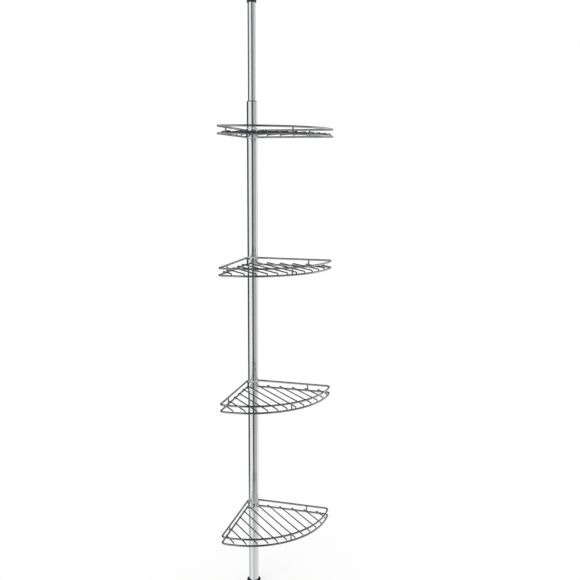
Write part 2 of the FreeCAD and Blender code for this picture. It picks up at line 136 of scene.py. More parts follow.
# %% [markdown]
# ## Studio
#
# Bright plate has no colour of its own: it looks like what stands around it. A plain
# white world would make it vanish. So the mirror rays see a small studio, as is hung
# round a tap to be drawn: even white screens, two grey screens and two dark gaps,
# under a dark ceiling and over pale paper on darker ground. The camera sees plain
# white, and everything matt is lit by an even pale world. A screen is described by its
# compass angle, once round from +X, and has one of three plain levels. A dark gap
# beside a white screen is what draws a dark line down a bright tube.

# %% Studio screens
WHITE, GREY, DARK = 1.0, 0.5, 0.05
SCREENS = [   # (starts, ends, brightness), places as shares of the way round from +X
    (0.00, 0.04, WHITE), (0.07, 0.14, GREY), (0.18, 0.42, DARK), (0.46, 0.62, WHITE),
    (0.66, 0.72, DARK), (0.76, 0.92, GREY), (0.96, 1.00, WHITE),
]
PAPER_GREY, PAPER_HAZE = 0.9, 0.7          # brightness of the low paper, share of the screens it hides
LOW_STARTS, LOW_ENDS = -0.40, -0.48        # sine of the elevation
CEILING_STARTS, CEILING_ENDS = 0.32, 0.50
CEILING = 0.04
GROUND_STARTS, GROUND_ENDS = -0.54, -0.66
GROUND_SHADE = 0.68                        # share of the paper's light that the ground lacks
SWAY = 0.012                               # how far a screen's edge wanders
SWAY_SCALE = 5.0

world = bpy.data.worlds.new("studio")
scene.world = world
world.use_nodes = True
tree = world.node_tree
tree.nodes.clear()


def between(low_end, high_end):
    """A mask that goes from 0 to 1 between two elevations."""
    mask = add(tree, "ShaderNodeMapRange", {"From Min": low_end, "From Max": high_end})
    join(tree, split, "Z", mask, "Value")
    return mask.outputs["Result"]


def blend(mask, under, over):
    """Two colours mixed by a mask. A number stands for an even mask or a grey."""
    mix = add(tree, "ShaderNodeMix", data_type="RGBA")
    if isinstance(mask, float):
        mix.inputs[FACTOR].default_value = mask
    else:
        tree.links.new(mask, mix.inputs[FACTOR])
    for socket, colour in ((mix.inputs[COLOUR_A], under), (mix.inputs[COLOUR_B], over)):
        if isinstance(colour, float):
            socket.default_value = (colour, colour, colour, 1)
        else:
            tree.links.new(colour, socket)
    return mix.outputs[COLOUR_RESULT]


ray = add(tree, "ShaderNodeTexCoord")
split = add(tree, "ShaderNodeSeparateXYZ")
compass = add(tree, "ShaderNodeMath", operation="ARCTAN2")
turns = add(tree, "ShaderNodeMath", {1: 1 / math.tau}, operation="MULTIPLY")
wander = add(tree, "ShaderNodeTexNoise", {"Scale": SWAY_SCALE, "Detail": 1.0})
swayed = add(tree, "ShaderNodeMath", {1: SWAY}, operation="MULTIPLY_ADD")
wrapped = add(tree, "ShaderNodeMath", operation="FRACT")
join(tree, ray, "Generated", split, 0)
join(tree, ray, "Generated", wander, "Vector")
join(tree, split, "Y", compass, 0)
join(tree, split, "X", compass, 1)
join(tree, compass, 0, turns, 0)
join(tree, wander, 0, swayed, 0)
join(tree, turns, 0, swayed, 2)
join(tree, swayed, 0, wrapped, 0)
ring = add(tree, "ShaderNodeValToRGB")
ramp_stops(ring, [(place, level) for starts, ends, level in SCREENS for place in (starts, ends)])
join(tree, wrapped, 0, ring, 0)
hall = ring.outputs["Color"]
hazy = blend(PAPER_HAZE, hall, PAPER_GREY)
hall = blend(between(LOW_STARTS, LOW_ENDS), hall, hazy)
hall = blend(between(CEILING_STARTS, CEILING_ENDS), hall, CEILING)
hall = blend(between(GROUND_STARTS, GROUND_ENDS), hall, blend(GROUND_SHADE, hazy, 0.0))

# %% Studio light by kind of ray
WORLD_LIGHT = 0.85

lit = add(tree, "ShaderNodeBackground", {"Color": (1, 1, 1, 1), "Strength": WORLD_LIGHT})
mirrored = add(tree, "ShaderNodeBackground", {"Strength": 1.0})
plain = add(tree, "ShaderNodeBackground", {"Color": (1, 1, 1, 1), "Strength": 1.0})
kind_of_ray = add(tree, "ShaderNodeLightPath")
glossy_mix = add(tree, "ShaderNodeMixShader")
camera_mix = add(tree, "ShaderNodeMixShader")
world_out = add(tree, "ShaderNodeOutputWorld")
tree.links.new(hall, mirrored.inputs["Color"])
join(tree, kind_of_ray, "Is Glossy Ray", glossy_mix, 0)
join(tree, lit, 0, glossy_mix, 1)
join(tree, mirrored, 0, glossy_mix, 2)
join(tree, kind_of_ray, "Is Camera Ray", camera_mix, 0)
join(tree, glossy_mix, 0, camera_mix, 1)
join(tree, plain, 0, camera_mix, 2)
join(tree, camera_mix, 0, world_out, 0)
print("studio has", len(SCREENS), "screens and gaps")

# %% [markdown]
# ## Floor
#
# The floor is a wide disc of pale paper. Away from the foot it turns into plain
# white light for the camera, so it runs into the background without an edge, and
# near the foot it is real paper that takes a soft shadow. Mirror rays pass through
# it to the studio, which has paper and ground of its own.

# %% Floor
FLOOR_RADIUS = 1.3
PAPER_STARTS, PAPER_ENDS = 0.05, 0.60     # distance from the pole over which paper turns to light
PAPER_LIGHT = 0.45                        # share of light in the paper at the foot
PAPER_COLOUR = (0.93, 0.93, 0.93, 1)
FLOOR_SIDES = 96

floor_mesh = bpy.data.meshes.new("studio_floor")
edge = [Vector((math.cos(i * math.tau / FLOOR_SIDES), math.sin(i * math.tau / FLOOR_SIDES), 0))
        for i in range(FLOOR_SIDES)]
floor_mesh.from_pydata([point * FLOOR_RADIUS for point in edge], [], [list(range(FLOOR_SIDES))])
floor = bpy.data.objects.new("studio_floor", floor_mesh)
scene.collection.objects.link(floor)

paper = bpy.data.materials.new("pale_paper")
paper.use_nodes = True
tree = paper.node_tree
tree.nodes.clear()
place = add(tree, "ShaderNodeTexCoord")
distance = add(tree, "ShaderNodeVectorMath", operation="LENGTH")
fade = add(tree, "ShaderNodeMapRange",
           {"From Min": PAPER_STARTS, "From Max": PAPER_ENDS, "To Min": PAPER_LIGHT})
seen = add(tree, "ShaderNodeLightPath")
light_share = add(tree, "ShaderNodeMath", operation="MULTIPLY")
matt = add(tree, "ShaderNodeBsdfDiffuse", {"Color": PAPER_COLOUR})
glow = add(tree, "ShaderNodeEmission", {"Strength": 1.0})
clear = add(tree, "ShaderNodeBsdfTransparent")
seen_mix = add(tree, "ShaderNodeMixShader")
mirror_mix = add(tree, "ShaderNodeMixShader")
paper_out = add(tree, "ShaderNodeOutputMaterial")
join(tree, place, "Object", distance, 0)
join(tree, distance, "Value", fade, "Value")
join(tree, fade, "Result", light_share, 0)
join(tree, seen, "Is Camera Ray", light_share, 1)
join(tree, light_share, 0, seen_mix, 0)
join(tree, matt, 0, seen_mix, 1)
join(tree, glow, 0, seen_mix, 2)
join(tree, seen, "Is Glossy Ray", mirror_mix, 0)
join(tree, seen_mix, 0, mirror_mix, 1)
join(tree, clear, 0, mirror_mix, 2)
join(tree, mirror_mix, 0, paper_out, 0)
floor_mesh.materials.append(paper)
print("floor is", 2 * FLOOR_RADIUS, "m across")

# %% [markdown]
# ## Lamps
#
# Three large soft lamps give the matt pieces their shape. They stay out of the
# mirror rays, so the plate shows only the studio screens.

# %% Lamps
LAMP_AIM = Vector((0, 0, 0.8))
LAMPS = [   # (name, place, width and height, watts)
    ("key_lamp", (-2.2, -1.6, 2.6), (1.6, 2.2), 26),
    ("fill_lamp", (2.4, -1.8, 1.4), (1.6, 2.2), 12),
    ("rear_lamp", (0.6, 2.4, 2.2), (2.0, 1.6), 12),
]


def soft_lamp(name, place, size, watts):
    lamp = bpy.data.lights.new(name, "AREA")
    lamp.shape = "RECTANGLE"
    lamp.size, lamp.size_y = size
    lamp.energy = watts
    holder = bpy.data.objects.new(name, lamp)
    holder.location = place
    holder.rotation_euler = (LAMP_AIM - holder.location).to_track_quat("-Z", "Y").to_euler()
    holder.visible_glossy = False
    scene.collection.objects.link(holder)


for lamp_values in LAMPS:
    soft_lamp(*lamp_values)
print("lamps:", ", ".join(name for name, *_ in LAMPS))

# %% [markdown]
# ## Shared surface groups
#
# Two effects turn up in several finishes, so each is a node group with named inputs.
# `bright plating` is plate over drawn steel: faint drawing lines, a slow ripple and
# the odd dull smear. `moulded skin` is the fine grain and slight cloudiness that a
# mould leaves on rubber and plastic. Both put out a colour, a roughness and a height.

# %% Group helper
def surface_group(name, entries):
    """A shader node group with the given inputs that puts out Colour, Roughness and Height."""
    group = bpy.data.node_groups.new(name, "ShaderNodeTree")
    for entry, kind, start in entries:
        socket = group.interface.new_socket(name=entry, in_out="INPUT", socket_type=kind)
        socket.default_value = start
    group.interface.new_socket(name="Colour", in_out="OUTPUT", socket_type="NodeSocketColor")
    group.interface.new_socket(name="Roughness", in_out="OUTPUT", socket_type="NodeSocketFloat")
    group.interface.new_socket(name="Height", in_out="OUTPUT", socket_type="NodeSocketFloat")
    return group, group.nodes.new("NodeGroupInput"), group.nodes.new("NodeGroupOutput")


# %% Bright plating
SMEAR_STARTS, SMEAR_ENDS = 0.48, 0.78      # noise level over which the plate turns dull
GRAIN_SHARE = 0.25                         # height of the drawing lines beside the ripple's

plating, plating_in, plating_out = surface_group("bright plating", [
    ("Colour", "NodeSocketColor", (0.8, 0.8, 0.8, 1)),
    ("Shade", "NodeSocketColor", (0.7, 0.7, 0.7, 1)),
    ("Grain Scale", "NodeSocketVector", (1, 1, 1)),
    ("Ripple Scale", "NodeSocketFloat", 30.0),
    ("Polish", "NodeSocketFloat", 0.05),
    ("Smear", "NodeSocketFloat", 0.12),
])
place = add(plating, "ShaderNodeTexCoord")
stretch = add(plating, "ShaderNodeVectorMath", operation="MULTIPLY")
grain = add(plating, "ShaderNodeTexNoise", {"Scale": 1.0, "Detail": 3.0, "Roughness": 0.6})
ripple = add(plating, "ShaderNodeTexNoise", {"Detail": 1.0})
smear = add(plating, "ShaderNodeTexNoise", {"Scale": 14.0, "Detail": 4.0, "Roughness": 0.65})
smear_mask = add(plating, "ShaderNodeMapRange", {"From Min": SMEAR_STARTS, "From Max": SMEAR_ENDS})
dulling = add(plating, "ShaderNodeMath", operation="MULTIPLY_ADD")
grain_part = add(plating, "ShaderNodeMath", {1: GRAIN_SHARE}, operation="MULTIPLY")
heights = add(plating, "ShaderNodeMath", operation="ADD")
tint = add(plating, "ShaderNodeMix", data_type="RGBA")
join(plating, place, "Object", stretch, 0)
join(plating, plating_in, "Grain Scale", stretch, 1)
join(plating, stretch, 0, grain, "Vector")
join(plating, place, "Object", ripple, "Vector")
join(plating, plating_in, "Ripple Scale", ripple, "Scale")
join(plating, place, "Object", smear, "Vector")
join(plating, smear, 0, smear_mask, "Value")
join(plating, smear_mask, "Result", dulling, 0)
join(plating, plating_in, "Smear", dulling, 1)
join(plating, plating_in, "Polish", dulling, 2)
join(plating, grain, 0, grain_part, 0)
join(plating, grain_part, 0, heights, 0)
join(plating, ripple, 0, heights, 1)
join(plating, grain, 0, tint, FACTOR)
join(plating, plating_in, "Colour", tint, COLOUR_A)
join(plating, plating_in, "Shade", tint, COLOUR_B)
join(plating, tint, COLOUR_RESULT, plating_out, "Colour")
join(plating, dulling, 0, plating_out, "Roughness")
join(plating, heights, 0, plating_out, "Height")

# %% Moulded skin
CLOUD_STARTS, CLOUD_ENDS = 0.35, 0.75      # noise level over which the skin turns rough
DUST_SHARE = 0.35                          # most dust that a cloudy patch holds

skin, skin_in, skin_out = surface_group("moulded skin", [
    ("Colour", "NodeSocketColor", (0.5, 0.5, 0.5, 1)),
    ("Dust", "NodeSocketColor", (0.6, 0.6, 0.6, 1)),
    ("Grain", "NodeSocketFloat", 900.0),
    ("Smooth", "NodeSocketFloat", 0.35),
    ("Rough", "NodeSocketFloat", 0.55),
])
place = add(skin, "ShaderNodeTexCoord")
pits = add(skin, "ShaderNodeTexNoise", {"Detail": 2.0, "Roughness": 0.7})
cloud = add(skin, "ShaderNodeTexNoise", {"Scale": 45.0, "Detail": 3.0})
cloud_mask = add(skin, "ShaderNodeMapRange", {"From Min": CLOUD_STARTS, "From Max": CLOUD_ENDS})
sheen_range = add(skin, "ShaderNodeMix", data_type="FLOAT")
dust_mask = add(skin, "ShaderNodeMath", {1: DUST_SHARE}, operation="MULTIPLY")
tint = add(skin, "ShaderNodeMix", data_type="RGBA")
join(skin, place, "Object", pits, "Vector")
join(skin, skin_in, "Grain", pits, "Scale")
join(skin, place, "Object", cloud, "Vector")
join(skin, cloud, 0, cloud_mask, "Value")
join(skin, cloud_mask, "Result", sheen_range, FACTOR)
join(skin, skin_in, "Smooth", sheen_range, FLOAT_A)
join(skin, skin_in, "Rough", sheen_range, FLOAT_B)
join(skin, cloud_mask, "Result", dust_mask, 0)
join(skin, dust_mask, 0, tint, FACTOR)
join(skin, skin_in, "Colour", tint, COLOUR_A)
join(skin, skin_in, "Dust", tint, COLOUR_B)
join(skin, tint, COLOUR_RESULT, skin_out, "Colour")
join(skin, sheen_range, FLOAT_RESULT, skin_out, "Roughness")
join(skin, pits, 0, skin_out, "Height")
print("groups:", ", ".join(g.name for g in bpy.data.node_groups))

# %% [markdown]
# ## Finishes
#
# A finish is one Principled shader fed by a group. What is the same all over, such as
# the metal value, is set on the shader itself, and the group feeds only what
# changes over the surface. The bump is a real depth in metres. The tubes get a
# trace of haze, so that a hoop mirrored in the pole is a soft shade and no hard mark.

# %% Finish helper
def finish(name, group, group_values, bump_depth, shader_values):
    material = bpy.data.materials.new(name)
    material.use_nodes = True
    tree = material.node_tree
    shader = tree.nodes["Principled BSDF"]
    for entry, number in shader_values.items():
        shader.inputs[entry].default_value = number
    surface = add(tree, "ShaderNodeGroup", node_tree=group)
    for entry, number in group_values.items():
        surface.inputs[entry].default_value = number
    bump = add(tree, "ShaderNodeBump", {"Strength": 1.0, "Distance": bump_depth})
    join(tree, surface, "Colour", shader, "Base Color")
    join(tree, surface, "Roughness", shader, "Roughness")
    join(tree, surface, "Height", bump, "Height")
    join(tree, bump, "Normal", shader, "Normal")
    return material


# %% Finishes
BRIGHT_PLATE = {"Colour": (0.83, 0.84, 0.85, 1), "Shade": (0.76, 0.77, 0.78, 1)}
METAL = {"Metallic": 1.0}

chrome_tube = finish(
    "chrome_tube", plating,
    {**BRIGHT_PLATE, "Grain Scale": (2600, 2600, 9),
     "Ripple Scale": 22.0, "Polish": 0.11, "Smear": 0.10},
    bump_depth=0.01 * MM, shader_values=METAL,
)
chrome_wire = finish(
    "chrome_wire", plating,
    {"Colour": (0.58, 0.59, 0.60, 1), "Shade": (0.44, 0.45, 0.46, 1), "Grain Scale": (700, 700, 700),
     "Ripple Scale": 120.0, "Polish": 0.06, "Smear": 0.14},
    bump_depth=0.03 * MM, shader_values=METAL,
)
# painted shade: the posts get a darker copy of the wire's plating, so they look as dark as the hoops
post_painted_shade = finish(
    "post_painted_shade", plating,
    {"Colour": (0.33, 0.335, 0.34, 1), "Shade": (0.24, 0.245, 0.25, 1), "Grain Scale": (700, 700, 700),
     "Ripple Scale": 120.0, "Polish": 0.08, "Smear": 0.16},
    bump_depth=0.03 * MM, shader_values=METAL,
)
collar_plate = finish(
    "collar_plate", plating,
    {**BRIGHT_PLATE, "Grain Scale": (700, 700, 700),
     "Ripple Scale": 60.0, "Polish": 0.10, "Smear": 0.12},
    bump_depth=0.02 * MM, shader_values=METAL,
)
bright_steel = finish(
    "bright_steel", plating,
    {"Colour": (0.62, 0.62, 0.60, 1), "Shade": (0.50, 0.50, 0.49, 1), "Grain Scale": (1400, 1400, 1400),
     "Ripple Scale": 60.0, "Polish": 0.28, "Smear": 0.20},
    bump_depth=0.03 * MM, shader_values=METAL,
)
black_rubber = finish(
    "black_rubber", skin,
    {"Colour": (0.013, 0.013, 0.014, 1), "Dust": (0.07, 0.07, 0.068, 1), "Grain": 1500.0,
     "Smooth": 0.42, "Rough": 0.66},
    bump_depth=0.04 * MM, shader_values={"Specular IOR Level": 0.5},
)
clip_plastic = finish(
    "clip_plastic", skin,
    {"Colour": (0.60, 0.61, 0.62, 1), "Dust": (0.50, 0.51, 0.52, 1), "Grain": 1800.0,
     "Smooth": 0.22, "Rough": 0.38},
    bump_depth=0.02 * MM, shader_values={"Specular IOR Level": 0.5, "Subsurface Weight": 0.05},
)
nylon = finish(
    "nylon", skin,
    {"Colour": (0.78, 0.77, 0.72, 1), "Dust": (0.66, 0.65, 0.60, 1), "Grain": 1600.0,
     "Smooth": 0.35, "Rough": 0.50},
    bump_depth=0.03 * MM, shader_values={"Specular IOR Level": 0.5, "Subsurface Weight": 0.10},
)
FINISHES = {
    "chrome_tube": chrome_tube, "chrome_wire": chrome_wire, "bright_steel": bright_steel,
    "black_rubber": black_rubber, "clip_plastic": clip_plastic, "nylon": nylon,
}
print("finishes:", ", ".join(FINISHES))

# %% [markdown]
# ## CAD pieces that stay
#
# Every CAD mesh gets the finish that its material slot in the record names. Tubes,
# clips, bushes and the lock keep these meshes for good, because the CAD already has
# their true form.

# %% Finish the CAD pieces
for entry in frame["record"]["subparts"]:
    piece = frame["nodes"][entry["node"]]
    piece.data.materials.clear()
    piece.data.materials.append(FINISHES[entry["material_slot"]])
print("finished", len(frame["nodes"]), "CAD pieces")

# %% [markdown]
# ## Mesh helpers
#
# Wire is a round section carried along a path. `soften` turns each corner of a path
# into an arc, as a bending tool does. `sweep` carries the section along, and its
# radius may change near both ends, which makes a chamfered cut or the little
# flared neck that resistance welding leaves. `turn` spins an outline round the pole.

# %% Soften corners
MOST_CUT = 0.48             # share of a straight that the bend at one of its ends may take


def soften(corners, bend, steps=6, least_turn=math.radians(15)):
    """Replace the corners of an open path by arcs of the radius bend."""
    path = [corners[0]]
    for before, corner, after in zip(corners, corners[1:], corners[2:]):
        back = (before - corner).normalized()
        ahead = (after - corner).normalized()
        opening = back.angle(ahead)
        if math.pi - opening < least_turn:
            path.append(corner)
            continue
        room = MOST_CUT * min((before - corner).length, (after - corner).length)
        cut = min(bend / math.tan(opening / 2), room)
        radius = cut * math.tan(opening / 2)
        centre = corner + (back + ahead).normalized() * (radius / math.sin(opening / 2))
        first = corner + back * cut - centre
        last = corner + ahead * cut - centre
        for i in range(steps + 1):
            path.append(centre + first.slerp(last, i / steps, first) * radius)
    path.append(corners[-1])
    return path


# %% Sweep a wire
SAME_PLACE = 0.0001 * MM    # points closer than this along a path are one


def near_ends(path, places):
    """Add points to a path at the given distances from both of its ends."""
    for _ in range(2):
        fresh, walked = [path[0]], 0.0
        for a, b in zip(path, path[1:]):
            step = (b - a).length
            inside = [d for d in places if walked + SAME_PLACE < d < walked + step - SAME_PLACE]
            fresh += [a.lerp(b, (d - walked) / step) for d in inside]
            walked += step
            fresh.append(b)
        path = fresh[::-1]
    return path


def end_radius(shape, distance, radius):
    """The wire's radius near its end. The shape lists (distance from the end, share of the radius)."""
    for (d0, r0), (d1, r1) in zip(shape, shape[1:]):
        if distance <= d1:
            return radius * (r0 + (r1 - r0) * max(distance - d0, 0) / (d1 - d0))
    return radius


def sweep(path, radius, shape, sides=14):
    """Vertices and faces of a round wire along a path, closed at both ends."""
    path = near_ends(path, [d for d, _ in shape[1:]])
    walked = [0.0]
    for a, b in zip(path, path[1:]):
        walked.append(walked[-1] + (b - a).length)
    tangent = (path[1] - path[0]).normalized()
    across = tangent.orthogonal().normalized()
    vertices, faces = [], []
    for i, point in enumerate(path):
        ahead = (path[min(i + 1, len(path) - 1)] - path[max(i - 1, 0)]).normalized()
        across = (tangent.rotation_difference(ahead) @ across).normalized()
        tangent = ahead
        size = end_radius(shape, min(walked[i], walked[-1] - walked[i]), radius)
        for k in range(sides):
            vertices.append(point + Quaternion(tangent, k * math.tau / sides) @ across * size)
    for i in range(len(path) - 1):
        for k in range(sides):
            a, b = i * sides + k, i * sides + (k + 1) % sides
            faces.append((a, b, b + sides, a + sides))
    last = (len(path) - 1) * sides
    faces.append(tuple(range(sides))[::-1])
    faces.append(tuple(last + k for k in range(sides)))
    return vertices, faces


# %% Turn an outline
ON_AXIS = 0.001 * MM        # a point closer to the axis than this is on it


def arc(start, finish, radius, steps=8):
    """Points of an arc between two outline points, hollow to the right of the way along it."""
    chord = finish - start
    side = Vector((chord.y, -chord.x)).normalized()
    centre = (start + finish) / 2 + side * math.sqrt(radius ** 2 - (chord.length / 2) ** 2)
    first, last = start - centre, finish - centre
    return [centre + first.slerp(last, i / steps) * radius for i in range(steps + 1)]


def turn(outline, steps=64, closed=False):
    """Vertices and faces of an outline of (radius, height) points spun round the pole's axis."""
    vertices, faces, rings = [], [], []
    for point in outline:
        if point[0] < ON_AXIS:
            rings.append([len(vertices)] * steps)
            vertices.append(Vector((0, 0, point[1])))
            continue
        rings.append([len(vertices) + k for k in range(steps)])
        for k in range(steps):
            angle = k * math.tau / steps
            vertices.append(Vector((point[0] * math.cos(angle), point[0] * math.sin(angle), point[1])))
    pairs = list(zip(rings, rings[1:]))
    if closed:
        pairs.append((rings[-1], rings[0]))
    for lower, upper in pairs:
        for k in range(steps):
            j = (k + 1) % steps
            face = [lower[k], lower[j], upper[j], upper[k]]
            faces.append(tuple(dict.fromkeys(face)))
    return vertices, faces


# %% Make a piece
def merge(parts):
    """Join (vertices, faces) pairs into one."""
    vertices, faces = [], []
    for some_vertices, some_faces in parts:
        start = len(vertices)
        vertices += some_vertices
        faces += [tuple(start + v for v in face) for face in some_faces]
    return vertices, faces


def make_mesh(name, form, crease=math.radians(35)):
    mesh = bpy.data.meshes.new(name)
    mesh.from_pydata(form[0], [], form[1])
    mesh.validate()
    mesh.shade_smooth()
    mesh.set_sharp_from_angle(angle=crease)
    return mesh


def place_piece(name, mesh, slot, body, node, height=0.0):
    """Put a mesh in the scene in place of a CAD node, on that node's body."""
    piece = bpy.data.objects.new(name, mesh)
    piece.location.z = height
    scene.collection.objects.link(piece)
    if not mesh.materials:
        mesh.materials.append(FINISHES[slot])
    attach(piece, body)
    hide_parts(node)


# %% [markdown]
# ## Rubber ends
#
# The foot and the cap are moulded rubber: a socket round the tube that flares out
# to a wide face with a grip groove. They are turned from one outline, whose
# hard corners are softened as a mould's are.

# %% Rubber ends
RUBBER_EDGE = 0.9 * MM      # radius of the moulded edges
GROOVE = (8 * MM, 15 * MM)  # inner and outer radius of the grip groove
GROOVE_DEPTH = 1.5 * MM
SOCKET_FLOOR = 6 * MM       # rubber between the tube's end and the face
EDGE_HEIGHT = 4 * MM        # straight edge between the face and the flare
FOOT_NECK, FOOT_FLARE = 18.3 * MM, 26 * MM      # radius of the socket's rim, and of the hollow flare
CAP_NECK, CAP_FLARE = 11.6 * MM, 24 * MM


def rubber_end(node, neck_radius, flare_radius, tube, body, up):
    """A flared end with its face at one end of the node's box and its socket round the tube."""
    low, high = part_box(node)
    face_radius, height = min(high.x, high.y), high.z - low.z
    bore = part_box(tube)[1].x
    flare = arc(Vector((face_radius, EDGE_HEIGHT)), Vector((neck_radius, height)), flare_radius)
    outline = [
        Vector((0, 0)), Vector((GROOVE[0], 0)), Vector((GROOVE[0], GROOVE_DEPTH)),
        Vector((GROOVE[1], GROOVE_DEPTH)), Vector((GROOVE[1], 0)), Vector((face_radius, 0)),
        *flare, Vector((bore, height)), Vector((bore, SOCKET_FLOOR)), Vector((0, SOCKET_FLOOR)),
    ]
    outline = [Vector((*point, 0)) for point in outline]
    outline = soften(outline, RUBBER_EDGE, steps=4, least_turn=math.radians(30))
    if not up:
        outline = [Vector((p.x, height - p.y, 0)) for p in outline][::-1]
    mesh = make_mesh(node + "_rubber", turn([(p.x, p.y + low.z) for p in outline]))
    place_piece(node + "_rubber", mesh, "black_rubber", body, node)


rubber_end("rubber_foot", FOOT_NECK, FOOT_FLARE, "lower_tube", "pole", up=True)
rubber_end("top_cap", CAP_NECK, CAP_FLARE, "slim_tube", "inner_pole", up=False)
print("foot and cap turned")

# %% [markdown]
# ## Spring
#
# Inside the pole a spring presses the slim tube against the ceiling. It is one helix
# of round wire. Its end turns lie close and thin out, as they do where a spring is
# closed and ground to stand flat. The lower end stands on the lock's spindle and the
# upper end pushes the slim tube's stop. The coil is built once, at the length of the
# CAD spring.

# %% Spring
SPRING_WIRE = 0.8 * MM
SPRING_TURNS = 10
CLOSED_RISE = 2.2 * SPRING_WIRE     # rise of the one close turn at each end
GROUND_END = [(0, 0.55), (9 * MM, 1.0)]
TURN_STEPS = 28

spring_low, spring_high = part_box("tension_spring")
coil_radius = min(spring_high.x, spring_high.y) - SPRING_WIRE
coil_rise = spring_high.z - spring_low.z - 2 * SPRING_WIRE
open_pitch = (coil_rise - 2 * CLOSED_RISE) / (SPRING_TURNS - 2)


def coil_height(turn_number):
    """Height over the lowest point of the coil's middle line, after a number of turns."""
    below, above = min(turn_number, 1), max(turn_number - (SPRING_TURNS - 1), 0)
    return (below + above) * CLOSED_RISE + (turn_number - below - above) * open_pitch


coil_path = []
for i in range(SPRING_TURNS * TURN_STEPS + 1):
    angle = i * math.tau / TURN_STEPS
    coil_path.append(Vector((coil_radius * math.cos(angle), coil_radius * math.sin(angle),
                             spring_low.z + SPRING_WIRE + coil_height(i / TURN_STEPS))))
coil = bpy.data.objects.new(
    "tension_spring_coil", make_mesh("spring_coil", sweep(coil_path, SPRING_WIRE, GROUND_END, sides=10)))
coil.data.materials.append(bright_steel)
scene.collection.objects.link(coil)
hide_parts("tension_spring")
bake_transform(coil)
print("spring of", SPRING_TURNS, "turns,", round(open_pitch / MM, 1), "mm apart")

# %% [markdown]
# ## Basket sizes
#
# The wire sizes are read from the CAD's boxes, so the modelled wire lies where
# the CAD wire lies. What a box can't tell, such as the bend at a hoop's corner,
# is named here.

# %% Basket sizes
BASKETS = ["bottom", "lower", "upper", "top"]


def middle_height(node):
    low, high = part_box(node)
    return (low.z + high.z) / 2


rim_low, rim_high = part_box("bottom_rim")
RIM_WIRE = (rim_high.z - rim_low.z) / 2
FRONT_RADIUS = -rim_low.y - RIM_WIRE
COLLAR_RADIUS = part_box("bottom_collar")[1].x
COLLAR_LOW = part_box("bottom_collar")[0].z - middle_height("bottom_rim")
COLLAR_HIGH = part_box("bottom_collar")[1].z - middle_height("bottom_rim")
RAIL_RISE = middle_height("bottom_rail") - middle_height("bottom_rim")
WELD_SINK = 0.15 * MM       # how far welded wires sink into each other
BUTT_SINK = 0.8 * MM        # the same for a cut end that stands on a wire
CORNER_BEND = 9.5 * MM
LEG_TAIL = 6 * MM           # wire past its weld at the collar
FLOOR_WIRE = 1.5 * MM
FLOOR_RISE = 5.3 * MM       # floor wires above the rim's middle
FLOOR_TIP = RIM_WIRE - BUTT_SINK
FLOOR_RUN_IN = 1.4 * MM     # how far an end runs in while it rises
FLOOR_BEND = 4.2 * MM
CORNER_MARGIN = 22 * MM     # sideways, from the outermost floor wire to the corner
WIRES_PER_SIDE = 6
POST_WIRE = 1.75 * MM
POST_SETBACK = 57 * MM      # side post, from the front corner along the leg
DIAGONAL = math.sqrt(0.5)

LEG_OFFSET = COLLAR_RADIUS + RIM_WIRE - WELD_SINK
LEG_LENGTH = math.sqrt(FRONT_RADIUS ** 2 - LEG_OFFSET ** 2)
CORNER_X = (LEG_OFFSET + LEG_LENGTH) * DIAGONAL
SPACING = (CORNER_X - CORNER_MARGIN) / (WIRES_PER_SIDE - 0.5)     # the pole stands between two wires
print("rim wire", round(RIM_WIRE / MM, 2), "mm, front radius", round(FRONT_RADIUS / MM, 1),
      "mm, floor wires", round(SPACING / MM, 2), "mm apart")

# %% [markdown]
# ## Hoops
#
# Rim and rail are the same bent wire: two straight legs that pass the collar at a
# tangent, a tight bend at each front corner and one wide arc between them. The
# path is drawn for the right half and mirrored. Its ends are sheared wire, with a
# small chamfer.

# %% Hoop
CUT_END = [(0, 0.72), (0.3 * MM, 0.92), (0.8 * MM, 1.0)]
ARC_STEPS = 40
CORNER_STEPS = 12
ROUND_TRIM = 0.02 * MM      # a rounder wire reaches further than the CAD's facets by this much

outward = Vector((DIAGONAL, DIAGONAL, 0))
along = Vector((DIAGONAL, -DIAGONAL, 0))


def hoop_path():
    """The middle line of a hoop, from the end of its right leg to the end of its left one."""
    reach = math.sqrt((FRONT_RADIUS - CORNER_BEND) ** 2 - (LEG_OFFSET - CORNER_BEND) ** 2)
    centre = outward * (LEG_OFFSET - CORNER_BEND) + along * reach
    right = [outward * LEG_OFFSET - along * LEG_TAIL]
    spoke = centre.normalized()
    for i in range(CORNER_STEPS + 1):
        right.append(centre + outward.slerp(spoke, i / CORNER_STEPS) * CORNER_BEND)
    front = Vector((0, -1, 0))
    right += [spoke.slerp(front, i / ARC_STEPS) * FRONT_RADIUS for i in range(1, ARC_STEPS)]
    left = [Vector((-p.x, p.y, p.z)) for p in right]
    return right + [front * FRONT_RADIUS] + left[::-1]


def place_on_basket(basket, part, ending, mesh, level="_rim"):
    """Put a mesh in place of a basket's CAD part. Its zero lies at the middle of the level's wire."""
    node = basket + part
    body, height = basket + "_basket", middle_height(basket + level)
    place_piece(node + ending, mesh, "chrome_wire", body, node, height)


hoop_mesh = make_mesh("hoop_wire", sweep(hoop_path(), RIM_WIRE - ROUND_TRIM, CUT_END, sides=20))
for basket in BASKETS:
    for hoop in ("_rim", "_rail"):
        place_on_basket(basket, hoop, "_wire", hoop_mesh, level=hoop)
print("hoop mesh has", len(hoop_mesh.vertices), "vertices")

# %% [markdown]
# ## Floor wires
#
# Twelve thinner wires run from front to back across the rim. Each end is bent
# down to the rim and welded on, where heat and pressure spread it into a little
# neck. The two middle wires would meet the collar, so their back ends stop on it,
# cut to its curve. Sliding the last rings of such a wire along its own straight
# run makes that cut without changing the wire's surface.

# %% Floor wires
WELD_END = [(0, 1.28), (0.35 * MM, 1.22), (0.8 * MM, 1.08), (1.4 * MM, 1.0)]
ROUNDING = 0.001 * MM       # room for the last digit when rings are found by their place


